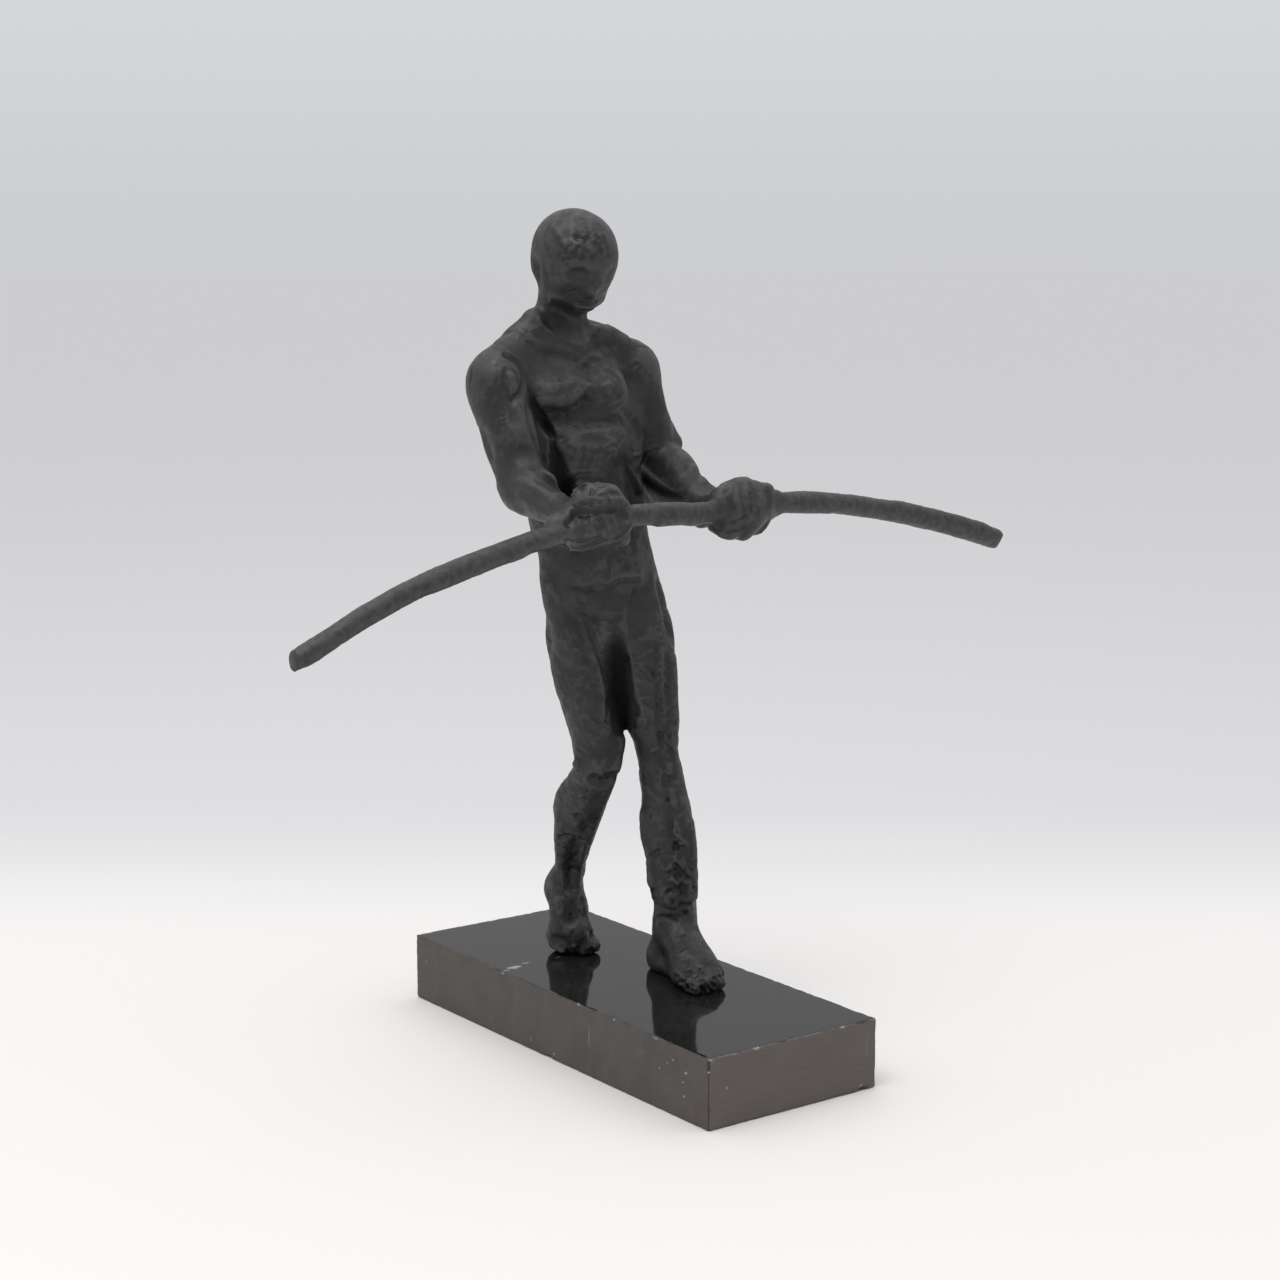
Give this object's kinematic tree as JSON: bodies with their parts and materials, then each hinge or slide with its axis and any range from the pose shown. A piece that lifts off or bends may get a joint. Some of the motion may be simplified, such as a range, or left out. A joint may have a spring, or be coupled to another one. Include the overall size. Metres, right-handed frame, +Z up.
{
  "type": "balancing figure ornament",
  "caption": "Dark cast figure of a tightrope walker mid-step, holding a long bent balance pole in both hands, on a rectangular polished stone plinth.",
  "frame": {"origin": "centre of the plinth's underside, on the surface that the ornament stands on", "axes": "+Z up, -Y the way the figure walks, +X the figure's left"},
  "size_m": [0.3596, 0.2, 0.3279],
  "materials": {
    "dark_metal": "near-black patina over rough hand-modelled cast metal, with a soft sheen",
    "black_stone": "black marble, polished mirror-like on top and honed grey-brown on the sides"
  },
  "bodies": {
    "root": {"figure": "dark_metal", "plinth": "black_stone"}
  },
  "joints": []
}
